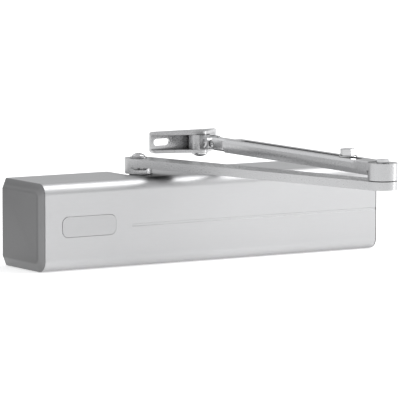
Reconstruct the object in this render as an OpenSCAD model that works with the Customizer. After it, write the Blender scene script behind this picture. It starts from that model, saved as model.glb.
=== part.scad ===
// Surface-mounted rack-and-pinion door closer with a slotted scissor arm.
// Millimetres. Origin on the back plane, at the middle of the four mounting holes.
// +X runs along the housing towards the spring end, +Y into the door, +Z up.

/* [Cover] */
// Length of the cover between its two end caps
cover_len = 267; // [264:1:300]
// Height of the cover
cover_h = 60; // [58:1:70]
// Depth of the cover from the door to its front face
cover_depth = 53; // [52:1:60]
// Outer radius along the two long front edges
edge_r = 8; // [6:0.5:10]
// Wall of the cover
cover_wall = 2; // [1.5:0.1:2.2]
// How far each end cap bulges beyond the cover
cap_bulge = 3.6; // [1:0.1:5]
// Half width of the cut-out round the spindle
cutout_r = 10; // [9.8:0.1:11]

/* [Name plate] */
// Length of the blank name plate
plate_len = 42; // [30:0.5:50]
// Height of the blank name plate
plate_h = 14; // [10:0.5:20]
// Middle of the name plate along the cover
plate_x = -99.3; // [-105:0.1:-90]

/* [Cylinder] */
// Radius of the cylinder bore
bore_r = 18; // [17:0.25:18.5]
// Length of the cylinder
case_len = 232; // [228:1:236]
// Height of the cylinder casting
case_h = 49; // [48:0.5:50]
// Depth of the cylinder casting
case_depth = 47.5; // [47:0.5:48.5]
// Distance between the mounting holes along the housing
mount_pitch_x = 243; // [240:1:246]
// Distance between the mounting holes up the door
mount_pitch_z = 30; // [24:1:36]
// Radius of a mounting hole
mount_hole_r = 2.9; // [2.5:0.1:3.3]

/* [Spindle and piston] */
// Place of the spindle along the housing
spindle_x = -44; // [-46:0.5:-42]
// Distance of the spindle from the door
spindle_y = -25; // [-25.5:0.5:-24.5]
// Number of pinion teeth
pinion_teeth = 12; // [12:4:12]
// Gear module, pitch diameter over teeth
gear_module = 1.5; // [1.5:0.1:1.5]
// Spindle travel in degrees
spindle_travel = 170; // [150:1:175]
// Radius of the spindle's journals
journal_r = 8; // [7.5:0.1:8]

/* [Main arm] */
// Distance from the spindle to the elbow
arm_len = 224; // [180:1:240]
// Direction of the main arm, in degrees from +X
arm_angle = -75.8; // [-80:0.1:-70]
// Width of the main arm
arm_w = 19.2; // [16:0.2:20]
// Thickness of the main arm
arm_t = 5.6; // [5:0.1:6.5]
// Underside of the main arm above the cover
arm_lift = 5.5; // [5:0.1:6]

/* [Forearm] */
// Distance from the elbow to the bracket's pivot
forearm_len = 230.1; // [220:0.1:240]
// Direction of the forearm, in degrees from +X
forearm_angle = 89.4; // [85:0.1:95]
// Width of the slotted bar
bar_w = 16.4; // [15:0.1:18]
// Where the slotted bar ends, from the elbow
bar_end = 185.8; // [180:0.1:190]
// Underside of the bar above the cover
bar_low = 14.65; // [14.6:0.05:16]
// Top of the bar above the cover
bar_high = 23.4; // [23:0.1:24.4]
// Radius of the round elbow block
elbow_r = 9.8; // [9:0.1:11]
// Where the slot in the bar begins, from the elbow
slot_start = 26; // [24:0.5:34]
// Where the slot in the bar ends, from the elbow
slot_end = 175; // [150:0.5:176]
// Width of the slot in the bar
slot_w = 5.2; // [5:0.1:6]
// Place of the clamp screw, from the elbow
clamp_at = 41.3; // [40:0.1:60]

/* [Frame bracket] */
// Length of the frame bracket
bracket_len = 54.6; // [50:0.2:64]
// Distance from the bracket's left end to its pivot
pivot_from_left = 34.3; // [25:0.1:36]
// Height of the frame bracket
bracket_h = 14.8; // [14.6:0.1:16]
// Sheet of the frame bracket
bracket_t = 2.2; // [1.8:0.1:2.2]
// Distance from the pivot to the frame's face
pivot_to_frame = 11; // [10.5:0.5:16]
// Underside of the bracket above the cover
bracket_lift = 11.1; // [10.9:0.1:12]
// Distance between the two slots
bracket_pitch = 37.1; // [30:0.1:38]
// Length of a slot
bracket_slot_len = 13; // [8:0.2:13.6]
// Width of a slot
bracket_slot_w = 5; // [4.5:0.1:6.5]

/* [Hidden] */
$fn = 96;

// Clearances
slip = 0.05;
seat_gap = 0.02;
air = 0.3;
eps = 0.01;

// Cover
top_z = cover_h / 2;
seam_x = cover_len / 2;
inner_z = top_z - cover_wall;
groove_x = -65.5;
groove_z = -1.5;
groove_w = 1.7;
groove_deep = 0.35;
plate_t = 0.7;
plate_proud = 0.2;
plate_corner = 4.5;

// Cylinder
case_end = case_len / 2;
ear_len = 11;
ear_t = 9;
plug_len = 14;
valve_y = -41.5;
valve_z = 18.5;
valve_r = 3;
valve_len = 24;
boss_r = 16;
boss_top = inner_z - 0.3;
cap_r = 14;
cap_low = 23.1;
bearing_r = 12;
bearing_low = 18.4;
bearing_t = 4.4;

// Gear, in the plane of the rack
pitch_r = gear_module * pinion_teeth / 2;
tooth_pitch = PI * gear_module;
pressure_angle = 20;
base_r = pitch_r * cos(pressure_angle);
pinion_tip_r = pitch_r + 1.4;
pinion_root_r = pitch_r - 1.7;
rack_tip = 1.0;
rack_root = 1.75;
backlash = 0.12;
gear_h = 22;
travel = pitch_r * spindle_travel * PI / 180;
rack_y = spindle_y - pitch_r;

// Piston, at its rest place against the left end
window_x0 = spindle_x - travel - pinion_tip_r - 1.3;
window_x1 = spindle_x + pinion_tip_r + 1.3;
piston_x0 = window_x0 - 15.5;
piston_x1 = window_x1 + 16.3;
window_y1 = spindle_y + pinion_tip_r + 1;

// Spring and its adjuster
spring_r = 14.4;
wire_r = 2.2;
spring_turns = 9.5;
spring_x0 = piston_x1 + 0.1;
seat_x0 = 88;
seat_t = 6;
spring_x1 = seat_x0 - 0.1;
adjuster_r = 4;
adjuster_x0 = 52;

// Spindle's square and the arm on it
square_w = 9;
arm_low = top_z + arm_lift;
arm_high = arm_low + arm_t;
hub_low = top_z + 0.6;
hub_r = 9.5;
arm_cap_t = 2;
arm_screw_r = 3;
elbow_x = spindle_x + arm_len * cos(arm_angle);
elbow_y = spindle_y + arm_len * sin(arm_angle);

// Elbow
block_low = arm_high + 0.7;
block_high = top_z + 23;
block_lid = 1.5;
shoulder_r = 4;
elbow_bush_r = 5.5;

// Slotted bar and the rod inside it
bar_z0 = top_z + bar_low;
bar_z1 = top_z + bar_high;
bar_wall = 1.6;
flank_low = 3.35;
cavity_z0 = bar_z0 + 1.4;
cavity_z1 = bar_z1 - 1.7;
cavity_start = 30;
rod_z0 = cavity_z0 + 0.15;
rod_z1 = cavity_z1 - 0.15;
rod_w = bar_w - 2 * bar_wall - 0.6;
rod_start = 36;
rod_z = (rod_z0 + rod_z1) / 2;
clamp_washer_t = 0.9;

// Universal joint, measured back from the bracket's pivot
pin_back = 16.4;
pin_r = 2.5;
fork_r = 4.6;
fork_w = 11.6;
fork_gap = 7.8;
fork_base = 9.8;
fork_root = 11.5;
stem_w = 6.6;
pin_head_r = 3.3;
tongue_w = 7.2;
tongue_r = 4.5;
ring_back = 21.5;
ring_end = 24.9;
ring_r = 4.7;
bar_tail = forearm_len - bar_end;
barrel_r = 7.6;

// Bracket
pivot_x = elbow_x + forearm_len * cos(forearm_angle);
pivot_y = elbow_y + forearm_len * sin(forearm_angle);
bracket_z0 = top_z + bracket_lift;
bracket_z1 = bracket_z0 + bracket_h;
bracket_mid = bracket_len / 2 - pivot_from_left;
nose_r = 5.7;
flange_end = 4.5;
rivet_r = 3.5;
rivet_head_r = 5.65;
pivot_bush_r = 5;

// ---- frames of the moving parts ----

module at_spindle() {
    translate([spindle_x, spindle_y, 0]) children();
}

// Local +X runs from the spindle to the elbow.
module along_arm() {
    at_spindle() rotate([0, 0, arm_angle]) children();
}

module at_elbow() {
    translate([elbow_x, elbow_y, 0]) children();
}

// Local +X runs from the elbow to the bracket's pivot.
module along_forearm() {
    at_elbow() rotate([0, 0, forearm_angle]) children();
}

module at_pivot() {
    translate([pivot_x, pivot_y, 0]) children();
}

// Local +X runs from the bracket's pivot back to the elbow.
module back_from_pivot() {
    at_pivot() rotate([0, 0, forearm_angle + 180]) children();
}

// ---- shared shapes ----

// A cylinder along X from x0 to x1 on the line through y, z
module bar_x(r, x0, x1, y = 0, z = 0) {
    translate([x0, y, z]) rotate([0, 90, 0]) cylinder(r = r, h = x1 - x0);
}

// A hexagonal prism along X, across flats af
module hex_x(af, x0, x1, y = 0, z = 0) {
    translate([x0, y, z]) rotate([0, 90, 0]) cylinder(r = af / sqrt(3), h = x1 - x0, $fn = 6);
}

// A cylinder along Z from z0 to z1
module post(r, z0, z1) {
    translate([0, 0, z0]) cylinder(r = r, h = z1 - z0);
}

// A hexagonal prism along Z, across flats af
module hex_post(af, z0, z1) {
    translate([0, 0, z0]) cylinder(r = af / sqrt(3), h = z1 - z0, $fn = 6);
}

// A flat ring on the Z axis
module ring(outer_r, inner_r, z0, z1) {
    difference() {
        post(outer_r, z0, z1);
        post(inner_r, z0 - 1, z1 + 1);
    }
}

// An O-ring on the Z axis, its section round
module o_ring(mid_r, section_r) {
    rotate_extrude() translate([mid_r, 0]) circle(r = section_r, $fn = 24);
}

// A flat-bottomed dome on the XY plane: a slice of a sphere
module dome(r, h) {
    ball_r = (r * r + h * h) / (2 * h);
    intersection() {
        translate([0, 0, h - ball_r]) sphere(r = ball_r);
        cylinder(r = r + 1, h = h + 1);
    }
}

// A slot between x0 and x1 with round ends, extruded from z0 to z1
module slot(x0, x1, w, z0, z1) {
    r = w / 2;
    translate([x0 + r, 0, 0]) post(r, z0, z1);
    translate([x1 - r, 0, 0]) post(r, z0, z1);
    translate([x0 + r, -r, z0]) cube([x1 - x0 - w, w, z1 - z0]);
}

// A rounded rectangle round the origin, from circles and squares
module rounded_rectangle(w, h, r) {
    square([w - 2 * r, h], center = true);
    square([w, h - 2 * r], center = true);
    for (x = [-1, 1], y = [-1, 1])
        translate([x * (w / 2 - r), y * (h / 2 - r)]) circle(r = r);
}

// The cover's outline in Y and Z, open square corners at the door, drawn in by inset
module outline(inset, front_inset, r) {
    front = -cover_depth + front_inset;
    half = top_z - inset;
    translate([front + r, -half]) square([-front - r, 2 * half]);
    translate([front, -half + r]) square([r + eps, 2 * (half - r)]);
    for (side = [-1, 1])
        translate([front + r, side * (half - r)]) circle(r = r);
}

// Turns a drawing in Y and Z into a solid from x0 to x1
module along_x(x0, x1) {
    translate([x0, 0, 0]) rotate([90, 0, 90]) linear_extrude(x1 - x0) children();
}

// ---- housing ----

module cutout(z0, z1) {
    at_spindle() {
        post(cutout_r, z0, z1);
        translate([-cutout_r, 0, z0]) cube([2 * cutout_r, -spindle_y + 1, z1 - z0]);
    }
}

module plate_shape() {
    rounded_rectangle(plate_len, plate_h, plate_corner);
}

module cover() {
    color("silver") difference() {
        along_x(-seam_x, seam_x) outline(0, 0, edge_r);
        along_x(-seam_x - 1, seam_x + 1) outline(cover_wall, cover_wall, edge_r - cover_wall);
        translate([-seam_x - 1, -1, -inner_z]) cube([cover_len + 2, 2, 2 * inner_z]);
        cutout(inner_z - 1, top_z + 1);
        cutout(-top_z - 1, -inner_z + 1);
        translate([groove_x, -cover_depth - 1, groove_z - groove_w / 2])
            cube([seam_x - groove_x + 1, 1 + groove_deep, groove_w]);
        translate([plate_x, -cover_depth + plate_t - plate_proud, 0])
            rotate([90, 0, 0]) linear_extrude(2) plate_shape();
    }
}

module name_plate() {
    color("lightgray") translate([plate_x, -cover_depth + plate_t - plate_proud - seat_gap, 0])
        rotate([90, 0, 0]) linear_extrude(plate_t - seat_gap)
            rounded_rectangle(plate_len - 0.3, plate_h - 0.3, plate_corner - 0.15);
}

// One end cap, drawn at the left end: a bevelled bulge and a lip inside the cover
module end_cap() {
    panel_inset = 7;
    panel_front = 5.7;
    lip_len = 6;
    lip_gap = cover_wall + 0.15;
    lip_t = 1.5;
    hull() {
        along_x(-seam_x - 0.8, -seam_x) outline(0, 0, edge_r, $fn = 64);
        along_x(-seam_x - cap_bulge, -seam_x - cap_bulge + eps)
            outline(panel_inset, panel_front, 3, $fn = 32);
    }
    along_x(-seam_x - eps, -seam_x + lip_len) difference() {
        outline(lip_gap, lip_gap, edge_r - lip_gap);
        translate([1, 0]) outline(lip_gap + lip_t, lip_gap + lip_t + 1, edge_r - lip_gap - lip_t);
    }
}

module left_end_cap() {
    color("darkgray") end_cap();
}

module right_end_cap() {
    color("darkgray") mirror([1, 0, 0]) end_cap();
}

module mount_holes() {
    for (x = [-1, 1], z = [-1, 1])
        translate([x * mount_pitch_x / 2, 1, z * mount_pitch_z / 2]) rotate([90, 0, 0]) {
            cylinder(r = mount_hole_r, h = ear_t + 2);
            translate([0, 0, ear_t - 2]) cylinder(r = 5, h = 4);
        }
}

module closer_case() {
    half = case_h / 2;
    color("gray") difference() {
        union() {
            translate([-case_end, -case_depth, -half]) cube([case_len, case_depth, case_h]);
            translate([-case_end - ear_len, -ear_t, -half])
                cube([case_len + 2 * ear_len, ear_t, case_h]);
            at_spindle() post(boss_r, -boss_top, boss_top);
        }
        bar_x(bore_r, -case_end - 1, case_end + 1, spindle_y);
        mount_holes();
        for (side = [0, 1]) mirror([0, 0, side]) at_spindle() {
            post(bearing_r, bore_r - 6, cap_low + 1);
            post(cap_r, cap_low, boss_top + 1);
        }
        for (z = [-1, 1])
            bar_x(valve_r + slip, -case_end - 1, -case_end + valve_len + 2, valve_y, z * valve_z);
        bar_x(valve_r + slip, case_end - valve_len - 2, case_end + 1, valve_y, valve_z);
    }
}

// The plug that shuts one end of the bore, drawn at the left end
module cylinder_plug() {
    difference() {
        bar_x(bore_r - seat_gap, -case_end, -case_end + plug_len, spindle_y);
        plug_groove() bar_x(bore_r + 1, 0, 2.2);
    }
}

// Places the seal's groove in a plug at the left end
module plug_groove() {
    translate([-case_end + 8.4, spindle_y, 0]) difference() {
        children();
        bar_x(bore_r - 2, -1, 4);
    }
}

module left_cylinder_plug() {
    color("dimgray") difference() {
        cylinder_plug();
        hex_x(12, -case_end - 1, -case_end + 6, spindle_y);
    }
}

module right_cylinder_plug() {
    color("dimgray") difference() {
        mirror([1, 0, 0]) cylinder_plug();
        bar_x(adjuster_r + 1 + slip, case_end - plug_len - 1, case_end + 1, spindle_y);
        bar_x(8, case_end - 5, case_end + 1, spindle_y);
    }
}

module plug_seals() {
    section = 0.95;
    color("black") for (side = [0, 1]) mirror([side, 0, 0])
        translate([-case_end + 9.5, spindle_y, 0]) rotate([0, 90, 0])
            o_ring(bore_r - 0.03 - section, section);
}

// ---- return spring ----

spring_steps = 16;
spring_sides = 6;
spring_rings = spring_turns * spring_steps;

// Share of the spring's length at a given number of turns; both ends lie flat
function spring_share(turn) =
    min(1, max(0, (turn - 0.75) / (spring_turns - 1.5)));

function spring_point(ring, side) =
    let (
        turn = ring / spring_steps,
        a = 360 * turn,
        b = 360 * side / spring_sides,
        r = spring_r + wire_r * cos(b),
        length = spring_x1 - spring_x0 - 2 * wire_r
    )
    [spring_x0 + wire_r + length * spring_share(turn) + wire_r * sin(b),
     spindle_y + r * cos(a), r * sin(a)];

module return_spring() {
    last = spring_rings * spring_sides;
    color("slategray") polyhedron(
        points = [for (i = [0:spring_rings], k = [0:spring_sides - 1]) spring_point(i, k)],
        faces = concat(
            [[for (k = [0:spring_sides - 1]) k]],
            [for (i = [0:spring_rings - 1], k = [0:spring_sides - 1])
                let (n = (k + 1) % spring_sides, a = i * spring_sides, b = a + spring_sides)
                    [a + k, b + k, b + n, a + n]],
            [[for (k = [spring_sides - 1:-1:0]) last + k]]
        )
    );
}

// ---- spindle bearings, seals and caps, drawn at the top ----

module spindle_bearing() {
    at_spindle() ring(bearing_r - seat_gap, journal_r + slip, bearing_low, bearing_low + bearing_t);
}

module spindle_seal() {
    at_spindle() ring(11, journal_r + slip, cap_low + 0.1, cap_low + 1.6);
}

module bearing_cap() {
    at_spindle() difference() {
        ring(cap_r - seat_gap, journal_r + 0.6, cap_low + seat_gap, boss_top);
        post(11 + seat_gap, cap_low - 1, cap_low + 1.7);
        for (a = [45:90:315]) rotate([0, 0, a]) translate([11.4, 0, 0])
            post(1.2, boss_top - 1.5, boss_top + 1);
    }
}

module upper_spindle_bearing() {
    color("goldenrod") spindle_bearing();
}

module lower_spindle_bearing() {
    color("goldenrod") mirror([0, 0, 1]) spindle_bearing();
}

module upper_spindle_seal() {
    color("black") spindle_seal();
}

module lower_spindle_seal() {
    color("black") mirror([0, 0, 1]) spindle_seal();
}

module upper_bearing_cap() {
    color("dimgray") bearing_cap();
}

module lower_bearing_cap() {
    color("dimgray") mirror([0, 0, 1]) bearing_cap();
}

// Plastic plate that fills the cover's unused lower cut-out
module lower_cutout_plug() {
    r = cutout_r - 0.1;
    color("darkgray") at_spindle() {
        post(r, -top_z, -inner_z - eps);
        translate([-r, 0, -top_z]) cube([2 * r, -spindle_y, cover_wall - eps]);
    }
}

// Two sprung strips round the cylinder that grip the cover from inside
module cover_clips() {
    strip_t = 0.8;
    strip_w = 12;
    gap = 0.05;
    half = case_h / 2 + gap;
    front = case_depth + gap;
    bump_r = inner_z - 0.1 - half;
    color("silver") for (x = [-86, 70]) along_x(x, x + strip_w) difference() {
        union() {
            translate([-front - strip_t, -half - strip_t])
                square([front - 12 + strip_t, 2 * (half + strip_t)]);
            for (side = [-1, 1]) translate([-20, side * half]) circle(r = bump_r);
        }
        translate([-front, -half]) square([front, 2 * half]);
    }
}

// ---- valves ----

// A needle valve from the left end face, pointing into the casting
module needle_valve(z) {
    head_x = -case_end + 1;
    tip = 5;
    difference() {
        union() {
            bar_x(valve_r, head_x, -case_end + valve_len - tip, valve_y, z);
            translate([-case_end + valve_len - tip, valve_y, z]) rotate([0, 90, 0])
                cylinder(r1 = 2, r2 = 0.6, h = tip);
        }
        hex_x(2.5, head_x - 1, head_x + 4, valve_y, z);
        translate([-case_end + 8, valve_y, z]) rotate([0, 90, 0]) difference() {
            cylinder(r = valve_r + 1, h = 1.4);
            translate([0, 0, -1]) cylinder(r = 2.1, h = 4);
        }
    }
}

// The seal in a valve's groove, drawn at the left end
module valve_seal(z) {
    translate([-case_end + 8.7, valve_y, z]) rotate([0, 90, 0]) o_ring(2.6, 0.42);
}

module valve_seals() {
    color("black") {
        valve_seal(valve_z);
        valve_seal(-valve_z);
        mirror([1, 0, 0]) valve_seal(valve_z);
    }
}

module closing_speed_valve() {
    color("goldenrod") needle_valve(valve_z);
}

module latch_speed_valve() {
    color("goldenrod") needle_valve(-valve_z);
}

module backcheck_valve() {
    color("goldenrod") mirror([1, 0, 0]) needle_valve(valve_z);
}

// ---- spring adjuster ----

module spring_adjuster() {
    collar_x = case_end - plug_len;
    color("silver") difference() {
        union() {
            bar_x(adjuster_r, adjuster_x0, collar_x - 0.3, spindle_y);
            bar_x(adjuster_r + 3, collar_x - 2.4, collar_x - 0.3, spindle_y);
            bar_x(adjuster_r + 1, collar_x - 0.4, case_end - 1, spindle_y);
        }
        hex_x(5, case_end - 6, case_end, spindle_y);
    }
}

module spring_seat() {
    color("dimgray") difference() {
        union() {
            bar_x(spring_r + wire_r, seat_x0, seat_x0 + seat_t, spindle_y);
            bar_x(spring_r - wire_r - 1.5, seat_x0 - 7, seat_x0 + 1, spindle_y);
        }
        bar_x(adjuster_r + slip, seat_x0 - 8, seat_x0 + seat_t + 1, spindle_y);
        for (a = [0:90:270]) translate([0, spindle_y, 0]) rotate([a, 0, 0])
            bar_x(1.5, seat_x0 - 1, seat_x0 + seat_t + 1, 0, spring_r);
    }
}

// ---- piston ----

// One rack tooth round x = 0, its tip towards +Y
module rack_tooth() {
    half = tooth_pitch / 4 - backlash;
    tip_half = half - rack_tip * tan(pressure_angle);
    root_half = half + rack_root * tan(pressure_angle);
    polygon([[-root_half, -rack_root - 0.5], [-root_half, -rack_root], [-tip_half, rack_tip],
             [tip_half, rack_tip], [root_half, -rack_root], [root_half, -rack_root - 0.5]]);
}

module piston_window() {
    first = ceil((window_x0 - spindle_x) / tooth_pitch);
    last = floor((window_x1 - spindle_x) / tooth_pitch);
    translate([0, 0, -bore_r - 1]) linear_extrude(2 * bore_r + 2) difference() {
        translate([window_x0, rack_y - rack_root])
            square([window_x1 - window_x0, window_y1 - rack_y + rack_root]);
        for (i = [first - 1:last])
            translate([spindle_x + (i + 0.5) * tooth_pitch, rack_y]) rack_tooth();
    }
}

module piston_groove(x) {
    translate([x, spindle_y, 0]) difference() {
        bar_x(bore_r + 1, 0, 2.4);
        bar_x(bore_r - 1.8, -1, 4);
    }
}

module rack_piston() {
    color("dimgray") difference() {
        union() {
            bar_x(bore_r - slip, piston_x0, piston_x1, spindle_y);
            bar_x(spring_r - wire_r - 1.5, piston_x1 - 1, piston_x1 + 6, spindle_y);
        }
        piston_window();
        piston_groove(piston_x0 + 5);
        piston_groove(piston_x1 - 7.4);
        bar_x(10, piston_x0 - 1, piston_x0 + 3, spindle_y);
        bar_x(1.4, piston_x0, window_x0 + 1, spindle_y);
        bar_x(2.6, piston_x0, piston_x0 + 9.5, spindle_y);
    }
}

module piston_seals() {
    section = 0.85;
    color("black") for (x = [piston_x0 + 6.2, piston_x1 - 6.2])
        translate([x, spindle_y, 0]) rotate([0, 90, 0])
            o_ring(bore_r - slip - 0.02 - section, section);
}

module check_valve_ball() {
    color("silver") translate([piston_x0 + 7.1, spindle_y, 0]) sphere(r = 2.3);
}

module check_valve_clip() {
    color("slategray") translate([piston_x0 + 3.2, spindle_y, 0]) rotate([0, 90, 0])
        ring(2.58, 1.5, 0, 1);
}

// ---- spindle and main arm ----

function involute(angle) = tan(angle) * 180 / PI - angle;

// Half the angle a pinion tooth spans at radius r
function tooth_half(r) =
    90 / pinion_teeth - backlash / pitch_r * 180 / PI + involute(pressure_angle)
    - involute(acos(min(1, base_r / r)));

function polar(r, a) = [r * cos(a), r * sin(a)];

module pinion_shape() {
    steps = 4;
    flank = [for (i = [0:steps]) base_r + (pinion_tip_r - base_r) * i / steps];
    polygon([for (tooth = [0:pinion_teeth - 1]) let (a = 360 * tooth / pinion_teeth) each concat(
        [polar(pinion_root_r, a - tooth_half(base_r))],
        [for (i = [0:steps]) polar(flank[i], a - tooth_half(flank[i]))],
        [for (i = [steps:-1:0]) polar(flank[i], a + tooth_half(flank[i]))],
        [polar(pinion_root_r, a + tooth_half(base_r))]
    )]);
}

module pinion_spindle() {
    square_top = arm_high - arm_cap_t - 0.2;
    color("lightsteelblue") at_spindle() difference() {
        union() {
            translate([0, 0, -gear_h / 2]) linear_extrude(gear_h) pinion_shape();
            post(pinion_root_r - 0.2, -inner_z + 1, -gear_h / 2 + 1);
            for (side = [0, 1]) mirror([0, 0, side]) {
                post(pinion_root_r - 0.2, gear_h / 2 - 1, bearing_low);
                post(journal_r, bearing_low - 1.5, boss_top);
            }
            rotate([0, 0, arm_angle])
                translate([-square_w / 2, -square_w / 2, boss_top - 1])
                    cube([square_w, square_w, square_top - boss_top + 1]);
        }
        post(arm_screw_r, square_top - 14, square_top + 1);
        hex_post(8, -boss_top - 1, -boss_top + 6);
    }
}

// The relief milled into the hub's front, under the arm
module hub_relief() {
    back = 5.6;
    depth = 2.2;
    at_spindle() rotate([0, 0, arm_angle + 60]) translate([0, -back, arm_low]) rotate([90, 0, 0])
        linear_extrude(hub_r)
            polygon([[-9, eps / 10], [-4.5, -depth], [2.6, -depth], [7.6, eps / 10]]);
}

module main_arm() {
    r = arm_w / 2;
    color("silver") difference() {
        along_arm() {
            post(r, arm_low, arm_high);
            translate([arm_len, 0, 0]) post(r, arm_low, arm_high);
            translate([0, -r, arm_low]) cube([arm_len, arm_w, arm_t]);
            post(hub_r, hub_low, arm_low + 1);
        }
        along_arm() {
            hole = square_w + 0.1;
            translate([-hole / 2, -hole / 2, hub_low - 1])
                cube([hole, hole, arm_high - arm_cap_t - hub_low + 1]);
            post(arm_screw_r, arm_low, arm_high + 1);
            translate([arm_len, 0, 0]) post(shoulder_r - 1, arm_low - 1, arm_high + 1);
        }
        hub_relief();
    }
}

module arm_washer() {
    color("silver") at_spindle() ring(5.9, arm_screw_r + slip, arm_high, arm_high + 0.7);
}

module arm_screw() {
    seat = arm_high + 0.7;
    color("silver") at_spindle() difference() {
        union() {
            post(4.5, seat, seat + 0.8);
            translate([0, 0, seat + 0.8]) dome(4.5, 1.9);
            post(arm_screw_r - 0.1, seat - 14, seat + 0.5);
        }
        hex_post(4, seat + 1.2, seat + 4);
    }
}

module elbow_washer() {
    color("dimgray") at_elbow() ring(7.5, shoulder_r + slip, arm_high, arm_high + 0.4);
}

module elbow_screw() {
    seat = block_high + air;
    color("silver") at_elbow() {
        hex_post(7.8, seat, seat + 1.8);
        post(shoulder_r, arm_high, seat + 0.1);
        post(shoulder_r - 1.1, arm_low + 0.2, arm_high + 0.1);
    }
}

// ---- forearm ----

// Flanks that widen from the bar to the round block and run into it
module elbow_flare() {
    flare_len = 22;
    half = bar_w / 2 + 0.05;
    r = elbow_r - 0.05;
    low = bar_z0 + flank_low + 0.1;
    lean = asin((r - half) / flare_len);
    touch = polar(r, 90 - lean);
    translate([0, 0, low]) linear_extrude(block_high - 0.1 - low)
        polygon([[flare_len, half], touch, [touch[0], -touch[1]], [flare_len, -half]]);
}

// Section of the slotted bar across its length: six-sided, its lower edges cut deeper
module bar_section() {
    half = bar_w / 2;
    low = bar_z0 + flank_low;
    high = bar_z1 - 1.75;
    polygon([
        [-half + 1.4, bar_z0], [half - 1.4, bar_z0], [half, low], [half, high],
        [half - 1.5, bar_z1], [-half + 1.5, bar_z1], [-half, high], [-half, low]
    ]);
}

module forearm() {
    color("silver") along_forearm() difference() {
        union() {
            post(elbow_r, block_low, block_high);
            elbow_flare();
            along_x(elbow_r - 3, bar_end) bar_section();
        }
        post(elbow_bush_r, block_low - 1, block_high - block_lid);
        post(shoulder_r + 0.3, block_low, block_high + 1);
        translate([cavity_start, -bar_w / 2 + bar_wall, cavity_z0])
            cube([bar_end - cavity_start + 1, bar_w - 2 * bar_wall, cavity_z1 - cavity_z0]);
        slot(slot_start, slot_end, slot_w, cavity_z1 - 2, bar_z1 + 1);
    }
}

module elbow_bush() {
    color("goldenrod") at_elbow()
        ring(elbow_bush_r - seat_gap, shoulder_r + slip, block_low, block_high - block_lid - seat_gap);
}

// ---- adjusting rod ----

// A ring behind the eye, then a block with chamfered edges up to the bar
module rod_neck() {
    w = 4.2;
    h = 4.3;
    edge = 1.3;
    bar_x(ring_r, ring_back, ring_end, 0, rod_z);
    along_x(ring_end - 1, bar_tail - 0.6) translate([0, rod_z]) polygon([
        [-w, -h + edge], [-w + edge, -h], [w - edge, -h], [w, -h + edge],
        [w, h - edge], [w - edge, h], [-w + edge, h], [-w, h - edge]
    ]);
}

module adjusting_rod() {
    shank_h = 3.8;
    color("silver") back_from_pivot() difference() {
        union() {
            translate([bar_tail - 4, -rod_w / 2, rod_z0])
                cube([bar_end - rod_start + 4, rod_w, rod_z1 - rod_z0]);
            rod_neck();
            translate([pin_back, 0, rod_z]) rotate([90, 0, 0])
                cylinder(r = tongue_r, h = tongue_w, center = true);
            translate([pin_back, -tongue_w / 2, rod_z - shank_h / 2])
                cube([ring_back - pin_back + 1, tongue_w, shank_h]);
        }
        translate([pin_back, 0, rod_z]) rotate([90, 0, 0])
            cylinder(r = pin_r + slip, h = 20, center = true);
        translate([forearm_len - clamp_at, 0, 0]) post(2.5, rod_z0 - 1, rod_z1 + 1);
    }
}

module clamp_washer() {
    color("silver") along_forearm() translate([clamp_at, 0, 0])
        ring(6, 2.5, bar_z1 + 0.05, bar_z1 + 0.05 + clamp_washer_t);
}

module clamp_screw() {
    seat = bar_z1 + 0.05 + clamp_washer_t;
    color("silver") along_forearm() translate([clamp_at, 0, 0]) {
        rotate([0, 0, -12.8]) hex_post(9, seat, seat + 4.5);
        post(2.4, rod_z0 + 0.3, seat + 0.1);
    }
}

// ---- universal joint ----

module knuckle() {
    low = bracket_z0 + bracket_t + 0.2;
    high = bracket_z1 - bracket_t - 0.2;
    half = fork_w / 2;
    color("silver") back_from_pivot() difference() {
        union() {
            post(barrel_r, low, high);
            translate([0, -stem_w / 2, rod_z - fork_r])
                cube([fork_base + 1, stem_w, 2 * fork_r]);
            translate([fork_base, -half, rod_z - fork_r])
                cube([pin_back - fork_base, fork_w, 2 * fork_r]);
            translate([pin_back, 0, rod_z]) rotate([90, 0, 0])
                cylinder(r = fork_r, h = fork_w, center = true);
        }
        post(pivot_bush_r, low - 1, high + 1);
        translate([fork_root, -fork_gap / 2, low - 5]) cube([20, fork_gap, 25]);
        translate([pin_back, 0, rod_z]) rotate([90, 0, 0])
            cylinder(r = pin_r, h = 30, center = true);
    }
}

module cross_pin() {
    color("silver") back_from_pivot() translate([pin_back, 0, rod_z]) {
        rotate([90, 0, 0]) cylinder(r = pin_r - seat_gap, h = fork_w, center = true);
        for (side = [-1, 1]) rotate([side * 90, 0, 0]) translate([0, 0, fork_w / 2])
            dome(pin_head_r, 0.6);
    }
}

module pivot_bush() {
    color("goldenrod") at_pivot() ring(pivot_bush_r - seat_gap, rivet_r + slip,
        bracket_z0 + bracket_t + 0.2, bracket_z1 - bracket_t - 0.2);
}

// ---- frame bracket ----

// Where a line from a point touches the nose, on the side away from the frame
function nose_touch(point, side) =
    polar(nose_r, atan2(point[1], point[0]) + side * acos(nose_r / norm(point)));

// The bracket before it is hollowed: straight at the frame, its sides run to a round nose
module bracket_blank() {
    left = [-pivot_from_left, pivot_to_frame - flange_end];
    right = [bracket_len - pivot_from_left, pivot_to_frame];
    translate([0, 0, bracket_z0]) linear_extrude(bracket_h) polygon([
        [left[0], pivot_to_frame], left, nose_touch(left, 1), nose_touch(right, -1), right
    ]);
    post(nose_r, bracket_z0, bracket_z1);
}

module bracket_slots() {
    r = bracket_slot_w / 2;
    run = bracket_slot_len / 2 - r;
    mid_z = (bracket_z0 + bracket_z1) / 2;
    for (side = [-1, 1])
        translate([bracket_mid + side * bracket_pitch / 2, pivot_to_frame + 1, mid_z])
            rotate([90, 0, 0]) {
                for (end = [-run, run]) translate([end, 0, 0]) cylinder(r = r, h = bracket_t + 2);
                translate([-run, -r, 0]) cube([2 * run, 2 * r, bracket_t + 2]);
            }
}

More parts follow.
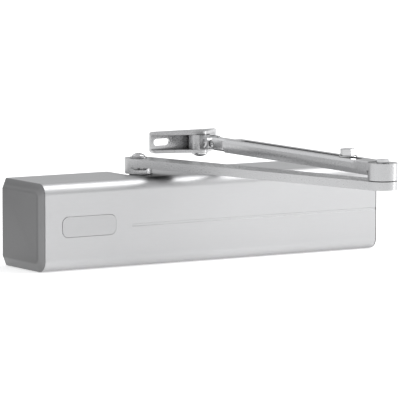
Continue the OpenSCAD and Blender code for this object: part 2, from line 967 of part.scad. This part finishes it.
module frame_bracket() {
    corner = 1.8;
    color("silver") at_pivot() intersection() {
        difference() {
            bracket_blank();
            translate([-bracket_len, -20, bracket_z0 + bracket_t])
                cube([2 * bracket_len, pivot_to_frame - bracket_t + 20, bracket_h - 2 * bracket_t]);
            post(rivet_r + seat_gap, bracket_z0 - 1, bracket_z1 + 1);
            bracket_slots();
        }
        translate([bracket_mid, pivot_to_frame + 1, (bracket_z0 + bracket_z1) / 2])
            rotate([90, 0, 0]) linear_extrude(60) rounded_rectangle(bracket_len, bracket_h, corner);
    }
}

module pivot_rivet() {
    rim_h = 1.2;
    color("silver") at_pivot() {
        post(rivet_r, bracket_z0 - rim_h / 2, bracket_z1);
        post(rivet_head_r, bracket_z0 - rim_h, bracket_z0);
        translate([0, 0, bracket_z0 - rim_h]) mirror([0, 0, 1]) dome(rivet_head_r - 0.2, 1.9);
        translate([0, 0, bracket_z1]) dome(4.6, 0.9);
    }
}

// ---- what is drawn ----

closer_case();
cover();
left_end_cap();
right_end_cap();
name_plate();
left_cylinder_plug();
right_cylinder_plug();
plug_seals();
return_spring();
upper_spindle_bearing();
lower_spindle_bearing();
upper_spindle_seal();
lower_spindle_seal();
upper_bearing_cap();
lower_bearing_cap();
lower_cutout_plug();
cover_clips();
valve_seals();
closing_speed_valve();
latch_speed_valve();
backcheck_valve();
spring_adjuster();
spring_seat();
rack_piston();
piston_seals();
check_valve_ball();
check_valve_clip();
pinion_spindle();
main_arm();
arm_screw();
arm_washer();
elbow_screw();
elbow_washer();
forearm();
elbow_bush();
adjusting_rod();
clamp_screw();
clamp_washer();
knuckle();
cross_pin();
pivot_bush();
frame_bracket();
pivot_rivet();
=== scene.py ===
"""Looks of a surface-mounted door closer with a slotted scissor arm.

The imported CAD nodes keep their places: modifiers round their edges, and each gets a procedural
finish. Only the return spring is built here, as a smooth wire that shortens with the piston.
Metres, in the frame of the CAD: +X along the housing, +Y into the door, +Z up.
"""

import math

import bpy
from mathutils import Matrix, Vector


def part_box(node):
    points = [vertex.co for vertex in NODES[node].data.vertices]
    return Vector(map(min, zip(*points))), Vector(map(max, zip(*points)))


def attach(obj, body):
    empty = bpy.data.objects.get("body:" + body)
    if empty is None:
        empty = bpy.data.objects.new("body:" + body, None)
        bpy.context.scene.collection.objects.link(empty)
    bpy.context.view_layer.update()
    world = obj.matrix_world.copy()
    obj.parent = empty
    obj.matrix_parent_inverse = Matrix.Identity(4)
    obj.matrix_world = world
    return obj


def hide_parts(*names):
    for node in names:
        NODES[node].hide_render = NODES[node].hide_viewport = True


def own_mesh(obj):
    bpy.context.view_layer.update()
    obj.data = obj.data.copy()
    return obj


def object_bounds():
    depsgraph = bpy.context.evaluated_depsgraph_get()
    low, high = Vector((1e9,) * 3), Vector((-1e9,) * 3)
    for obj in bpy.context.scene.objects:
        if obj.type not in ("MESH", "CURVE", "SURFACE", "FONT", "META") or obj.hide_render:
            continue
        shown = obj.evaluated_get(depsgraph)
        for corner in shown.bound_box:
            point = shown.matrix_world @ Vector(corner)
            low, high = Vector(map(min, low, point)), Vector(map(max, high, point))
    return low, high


MM = 0.001

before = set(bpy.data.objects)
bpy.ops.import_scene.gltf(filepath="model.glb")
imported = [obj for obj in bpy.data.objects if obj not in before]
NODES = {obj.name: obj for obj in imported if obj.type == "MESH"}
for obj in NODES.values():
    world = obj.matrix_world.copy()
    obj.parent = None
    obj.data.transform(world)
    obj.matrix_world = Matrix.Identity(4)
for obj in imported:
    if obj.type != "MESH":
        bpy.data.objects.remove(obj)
CAD_LOW, CAD_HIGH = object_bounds()

# The view: from the left and front, a little above, with a long lens
CAMERA_TURN = math.radians(31.72)
CAMERA_RISE = math.radians(6.15)
CAMERA_DISTANCE = 2.9258
CAMERA_LENS = 384.4
CAMERA_TARGET = Vector((-0.01164, -0.053, 0.01263))
SENSOR_WIDTH = 36

# The studio: an even level, a white band round the horizon that ends at this sine of the rise,
# and soft lobes, each a turn, a rise and a half width in degrees and the amount that it adds
STUDIO_COLOUR = (0.985, 0.992, 1, 1)
STUDIO_LEVEL = 0.8
BAND_LEVEL = 1.0
BAND_HEIGHT = 0.12
LOBES = [
    (-148, 8, 60, -0.22),   # behind on the right, which the top face mirrors
    (-105, 10, 32, -0.35),  # right
    (-15, 10, 45, -0.3),    # front
    (165, -12, 45, -0.5),   # behind and low, which the left cap mirrors
    (166, 34, 30, 0.5),     # behind and high
    (82, 15, 30, 0.35),     # left
]

FLOOR_SIDE = 14
FLOOR_GAP = 0.2 * MM
FLOOR_WHITE = 0.9
FLOOR_GLOW = 0.42

# Noise stays near its middle, so this part of its range is spread over the whole
NOISE_LOW, NOISE_HIGH = 0.3, 0.7

# Painted shade in crevices: openness below which a crevice is painted darkest, and above which the
# colour is untouched
SHUT, OPEN = 0.15, 0.8
CREVICE_SHADE_REACH = 2.4 * MM
CREVICE_SHADE_DARKEST = 0.2

# The wide painted shadow under the arm: it fades in between these depths below the cover's top
ARM_SHADOW_REACH = 22 * MM
ARM_SHADOW_DARKEST = 0.1
ARM_SHADOW_FADE_LOW, ARM_SHADOW_FADE_HIGH = 16 * MM, 4 * MM

# An end cap's panel is painted darker, as painted shade, from this far short of its outermost
# face, with a soft edge
PANEL_SHADE_SHARE = 0.66
PANEL_STEP = 0.5 * MM
PANEL_EDGE = 0.4 * MM

# Every finish varies by this share of its colour, in broad patches
PATCH_SHADE = 0.03
PATCH_SCALE = 18
PATCH_STRETCH = (3, 1, 1)
PATCH_DETAIL = 2

# Width of the rounding on each node's sharp edges, in millimetres
EDGES = {
    "cover": 0.25, "left_end_cap": 0.4, "right_end_cap": 0.4, "name_plate": 0.15,
    "main_arm": 0.5, "forearm": 0.35, "adjusting_rod": 0.35, "knuckle": 0.5,
    "frame_bracket": 0.35, "pivot_rivet": 0.3, "arm_screw": 0.2, "arm_washer": 0.15,
    "elbow_screw": 0.3, "elbow_washer": 0.1, "clamp_screw": 0.35, "clamp_washer": 0.15,
    "cross_pin": 0.2, "closer_case": 0.4, "pinion_spindle": 0.2,
    "return_spring": 0,     # the wire stands for it
}
OTHER_EDGES = 0.15
EDGE_SEGMENTS = 2
SHARP_FROM = math.radians(28)
FLAT_WITHIN = math.radians(0.3)
WELD_WITHIN = 0.001 * MM


# ---- shader nodes ----

def node_tools(tree):
    """Two helpers for a node tree: one adds a node with its settings, one links two sockets."""
    def add(kind, **values):
        node = tree.nodes.new(kind)
        for key, value in values.items():
            setattr(node, key, value)
        return node

    return add, tree.links.new


def ramp(add, link, source, start, end, low, high, kind="LINEAR"):
    """A value that goes from low to high while the source goes from start to end."""
    node = add("ShaderNodeMapRange", interpolation_type=kind)
    for name, value in zip(("From Min", "From Max", "To Min", "To Max"), (start, end, low, high)):
        node.inputs[name].default_value = value
    link(source, node.inputs["Value"])
    return node.outputs["Result"]


def grain(add, link, scale, stretch, detail=4):
    """Noise in the piece's own metres, its spots stretched by the three factors."""
    place = add("ShaderNodeTexCoord")
    mapping = add("ShaderNodeMapping")
    mapping.inputs["Scale"].default_value = [1 / s for s in stretch]
    link(place.outputs["Object"], mapping.inputs["Vector"])
    noise = add("ShaderNodeTexNoise")
    noise.inputs["Scale"].default_value = scale
    noise.inputs["Detail"].default_value = detail
    link(mapping.outputs["Vector"], noise.inputs["Vector"])
    return noise.outputs["Fac"]


def spread(add, link, source, low, high):
    """Maps noise onto low to high."""
    return ramp(add, link, source, NOISE_LOW, NOISE_HIGH, low, high)


def tint(add, link, source, dark, light):
    """Mixes two colours by a value from 0 to 1."""
    mix = add("ShaderNodeMix", data_type="RGBA")
    mix.inputs["A"].default_value = (*dark, 1)
    mix.inputs["B"].default_value = (*light, 1)
    link(source, mix.inputs["Factor"])
    return mix.outputs["Result"]


def relief(add, link, shader, source, depth):
    """Bump from a height map."""
    bump = add("ShaderNodeBump")
    bump.inputs["Distance"].default_value = depth
    bump.inputs["Strength"].default_value = 1
    link(source, bump.inputs["Height"])
    link(bump.outputs["Normal"], shader.inputs["Normal"])


def times(add, link, colour, share):
    """The colour multiplied by a share from 0 to 1."""
    mix = add("ShaderNodeMix", data_type="RGBA", blend_type="MULTIPLY")
    mix.inputs["Factor"].default_value = 1
    link(colour, mix.inputs["A"])
    link(share, mix.inputs["B"])
    return mix.outputs["Result"]


def painted_crevice_shade(add, link, colour, reach, darkest, own=True):
    """Painted shade: the colour, down to the share darkest where the surface is shut in by its own
    piece, or by all its neighbours."""
    shut = add("ShaderNodeAmbientOcclusion", samples=8, only_local=own)
    shut.inputs["Distance"].default_value = reach
    share = ramp(add, link, shut.outputs["AO"], SHUT, OPEN, darkest, 1)
    return times(add, link, colour, share)


def place_along(add, link, axis, start, end, low, high, mirrored=False):
    """A value that goes softly from low to high between two places on an axis of the piece, or
    at both sides of its middle where it is mirrored."""
    parts = add("ShaderNodeSeparateXYZ")
    link(add("ShaderNodeTexCoord").outputs["Object"], parts.inputs[0])
    place = parts.outputs[axis]
    if mirrored:
        size = add("ShaderNodeMath", operation="ABSOLUTE")
        link(place, size.inputs[0])
        place = size.outputs["Value"]
    return ramp(add, link, place, start, end, low, high, "SMOOTHSTEP")


# ---- camera, lights and floor ----

def direction(turn, rise):
    """Unit vector from the object towards a place seen at that turn and rise."""
    flat = math.cos(rise)
    return Vector((-math.sin(turn) * flat, -math.cos(turn) * flat, math.sin(rise)))


def make_camera():
    data = bpy.data.cameras.new("camera")
    data.sensor_width = SENSOR_WIDTH
    data.lens = CAMERA_LENS
    data.clip_start, data.clip_end = 0.1, 50
    camera = bpy.data.objects.new("camera", data)
    bpy.context.scene.collection.objects.link(camera)
    back = direction(CAMERA_TURN, CAMERA_RISE)
    camera.location = CAMERA_TARGET + back * CAMERA_DISTANCE
    camera.rotation_euler = (-back).to_track_quat("-Z", "Y").to_euler()
    bpy.context.scene.camera = camera


def softbox(name, turn, rise, distance, width, height, power):
    """A rectangular area light that faces the object."""
    data = bpy.data.lights.new(name, "AREA")
    data.shape = "RECTANGLE"
    data.size, data.size_y = width, height
    data.energy = power
    light = bpy.data.objects.new(name, data)
    bpy.context.scene.collection.objects.link(light)
    back = direction(math.radians(turn), math.radians(rise))
    light.location = CAMERA_TARGET + back * distance
    light.rotation_euler = (-back).to_track_quat("-Z", "Y").to_euler()


def make_world():
    """A studio of soft light by direction."""
    world = bpy.data.worlds.new("studio")
    world.use_nodes = True
    background = world.node_tree.nodes["Background"]
    add, link = node_tools(world.node_tree)
    place = add("ShaderNodeTexCoord").outputs["Generated"]

    def dot(vector):
        node = add("ShaderNodeVectorMath", operation="DOT_PRODUCT")
        node.inputs[1].default_value = vector
        link(place, node.inputs[0])
        return node.outputs["Value"]

    def join(kind, first, second):
        node = add("ShaderNodeMath", operation=kind)
        for socket, value in zip(node.inputs, (first, second)):
            if isinstance(value, (int, float)):
                socket.default_value = value
            else:
                link(value, socket)
        return node.outputs["Value"]

    height = join("ABSOLUTE", dot((0, 0, 1)), 0)
    band = ramp(add, link, height, 0, BAND_HEIGHT, BAND_LEVEL - STUDIO_LEVEL, 0, "SMOOTHSTEP")
    total = join("ADD", band, STUDIO_LEVEL)
    for turn, rise, half_width, amount in LOBES:
        towards = dot(direction(math.radians(turn), math.radians(rise)))
        edge = math.cos(math.radians(half_width))
        lobe = ramp(add, link, towards, edge, 1, 0, amount, "SMOOTHSTEP")
        total = join("ADD", lobe, total)
    link(join("MAXIMUM", total, 0), background.inputs["Strength"])
    background.inputs["Color"].default_value = STUDIO_COLOUR
    bpy.context.scene.world = world


def make_floor():
    """A white paper floor just under the housing."""
    half = FLOOR_SIDE / 2
    z = CAD_LOW.z - FLOOR_GAP
    mesh = bpy.data.meshes.new("floor")
    mesh.from_pydata([(-half, -half, z), (half, -half, z), (half, half, z), (-half, half, z)],
                     [], [(0, 1, 2, 3)])
    floor = bpy.data.objects.new("floor", mesh)
    bpy.context.scene.collection.objects.link(floor)
    material, shader, add, link = new_material("floor_paper")
    shader.inputs["Base Color"].default_value = (FLOOR_WHITE, FLOOR_WHITE, FLOOR_WHITE, 1)
    shader.inputs["Roughness"].default_value = 0.9
    shader.inputs["Specular IOR Level"].default_value = 0.1
    shader.inputs["Emission Color"].default_value = (1, 1, 1, 1)
    shader.inputs["Emission Strength"].default_value = FLOOR_GLOW
    mesh.materials.append(material)


# ---- materials ----

def grey(value):
    """A grey with a touch of blue."""
    return value, value, min(1, value * 1.01)


def new_material(name):
    """A material, its Principled shader, and the helpers that add and link nodes."""
    material = bpy.data.materials.new(name)
    material.use_nodes = True
    tree = material.node_tree
    return material, tree.nodes["Principled BSDF"], *node_tools(tree)


def finish_of(name, colour, metallic, roughness, scale, stretch=(1, 1, 1), depth=2e-6,
              gloss=0.05, own=True, change=None):
    """A finish with fine variation in colour and gloss, painted shade darkening its crevices and a
    shallow relief.
    Where it has a change, the colour passes through that last."""
    material, shader, add, link = new_material(name)
    shader.inputs["Metallic"].default_value = metallic
    fine = grain(add, link, scale, stretch)
    broad = grain(add, link, PATCH_SCALE, PATCH_STRETCH, PATCH_DETAIL)
    dark = [c * (1 - PATCH_SHADE) for c in colour]
    light = [min(1, c * (1 + PATCH_SHADE)) for c in colour]
    colour = tint(add, link, spread(add, link, broad, 0, 1), dark, light)
    # painted shade: the colour is darkened where ambient occlusion finds the surface shut in
    colour = painted_crevice_shade(add, link, colour, CREVICE_SHADE_REACH, CREVICE_SHADE_DARKEST, own)
    if change:
        colour = change(add, link, colour)
    link(colour, shader.inputs["Base Color"])
    link(spread(add, link, fine, roughness - gloss, roughness + gloss), shader.inputs["Roughness"])
    relief(add, link, shader, fine, depth)
    return material


def painted_arm_shadow(add, link, colour):
    """A painted shadow: darkens the cover's upper part where the arm stands close above it."""
    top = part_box("cover")[1].z
    # painted shadow: far-reaching ambient occlusion from all neighbours darkens the colour
    shaded = painted_crevice_shade(add, link, colour, ARM_SHADOW_REACH, ARM_SHADOW_DARKEST, own=False)
    height = place_along(add, link, "Z", top - ARM_SHADOW_FADE_LOW, top - ARM_SHADOW_FADE_HIGH, 0, 1)
    mix = add("ShaderNodeMix", data_type="RGBA")
    link(height, mix.inputs["Factor"])
    link(colour, mix.inputs["A"])
    link(shaded, mix.inputs["B"])
    return mix.outputs["Result"]


def painted_panel_shade(add, link, colour):
    """Painted shade: darkens the flat panel of an end cap against the bevelled rim round it."""
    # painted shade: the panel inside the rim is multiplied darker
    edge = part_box("right_end_cap")[1].x - PANEL_STEP
    share = place_along(add, link, "X", edge - PANEL_EDGE, edge + PANEL_EDGE, 1, PANEL_SHADE_SHARE,
                        mirrored=True)
    return times(add, link, colour, share)


def make_materials():
    """A finish for each material slot of the record."""
    return {
        # the cover's colour carries a painted shadow under the arm
        "cover_aluminium": finish_of("satin_anodised", grey(0.53), 1, 0.42, 2200, (12, 1, 1),
                                     change=painted_arm_shadow),
        # the end caps' colour carries a painted shade on their flat panels
        "cap_plastic": finish_of("cap_silver", grey(0.205), 0.7, 0.36, 1600, depth=1e-6,
                                 change=painted_panel_shade),
        "plate_aluminium": finish_of("plate_satin", grey(0.49), 1, 0.36, 2600, (15, 1, 1)),
        "cast_aluminium": finish_of("cast_alloy", grey(0.52), 0.9, 0.55, 900, depth=2e-5),
        "seal_rubber": finish_of("nitrile", (0.02, 0.02, 0.02), 0, 0.6, 1500),
        "spring_steel": finish_of("spring_wire", grey(0.3), 0.9, 0.4, 1500),
        "bearing_bronze": finish_of("bronze", (0.45, 0.3, 0.13), 1, 0.4, 2000),
        "valve_brass": finish_of("brass", (0.62, 0.44, 0.18), 1, 0.28, 2000),
        "hardened_steel": finish_of("ground_steel", grey(0.35), 1, 0.3, 1800),
        "arm_silver": finish_of("silver_coat", grey(0.475), 0.95, 0.28, 1400, depth=2e-7,
                                gloss=0.02, own=False),
        "bright_steel": finish_of("zinc_plate", grey(0.52), 1, 0.18, 1500, depth=2e-7,
                                  gloss=0.02, own=False),
    }


def slot_of_node():
    """The record's material slot of each CAD node."""
    found = {}
    for node, piece in NODES.items():
        for slot in piece.material_slots:
            found[node] = slot.material.name
    return found


# ---- pieces ----

def soften(piece, width):
    """Rounds the sharp edges of a CAD node with modifiers; its mesh stays as packed."""
    weld = piece.modifiers.new("weld", "WELD")
    weld.merge_threshold = WELD_WITHIN
    flat = piece.modifiers.new("flat", "DECIMATE")
    flat.decimate_type = "DISSOLVE"
    flat.angle_limit = FLAT_WITHIN
    if width > 0:
        bevel = piece.modifiers.new("bevel", "BEVEL")
        bevel.width = width
        bevel.segments = EDGE_SEGMENTS
        bevel.limit_method = "ANGLE"
        bevel.angle_limit = SHARP_FROM
        bevel.use_clamp_overlap = True
    normal = piece.modifiers.new("normal", "WEIGHTED_NORMAL")
    normal.keep_sharp = False
    normal.weight = 50


def make_spring(material):
    """The return spring as a round wire with flat end coils. It shortens as the piston comes."""
    low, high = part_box("return_spring")
    wire = 2.2 * MM
    coil = (high.z - low.z) / 2 - wire
    middle_y = (low.y + high.y) / 2
    first, last = low.x + wire, high.x - wire
    turns, flat_turns = 9.5, 0.75
    steps, sides = 40, 12
    rings = int(turns * steps) + 1
    points = []
    for ring in range(rings):
        turn = ring / steps
        share = min(1, max(0, (turn - flat_turns) / (turns - 2 * flat_turns)))
        angle = math.tau * turn
        for side in range(sides):
            around = math.tau * side / sides
            radius = coil + wire * math.cos(around)
            points.append((first + (last - first) * share + wire * math.sin(around),
                           middle_y + radius * math.cos(angle), radius * math.sin(angle)))
    faces = [tuple(range(sides)), tuple(reversed(range((rings - 1) * sides, rings * sides)))]
    for ring in range(rings - 1):
        for side in range(sides):
            near, following = ring * sides, (side + 1) % sides
            faces.append((near + side, near + sides + side, near + sides + following,
                          near + following))
    mesh = bpy.data.meshes.new("spring_wire")
    mesh.from_pydata(points, [], faces)
    mesh.shade_smooth()
    mesh.materials.append(material)
    spring = bpy.data.objects.new("spring_wire", mesh)
    bpy.context.scene.collection.objects.link(spring)
    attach(spring, "closer")
    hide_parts("return_spring")
    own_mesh(spring)


make_camera()
make_world()
softbox("right_strip", turn=-64, rise=12, distance=1.6, width=0.2, height=1.5, power=12)
softbox("overhead_right", turn=-70, rise=58, distance=1.6, width=0.9, height=0.9, power=8)
make_floor()
MATERIALS = make_materials()
SLOTS = slot_of_node()
make_spring(MATERIALS["spring_steel"])
for node, piece in NODES.items():
    soften(piece, EDGES.get(node, OTHER_EDGES) * MM)
    for slot in piece.material_slots:
        slot.material = MATERIALS[SLOTS[node]]
bpy.context.scene.view_settings.view_transform = "Standard"
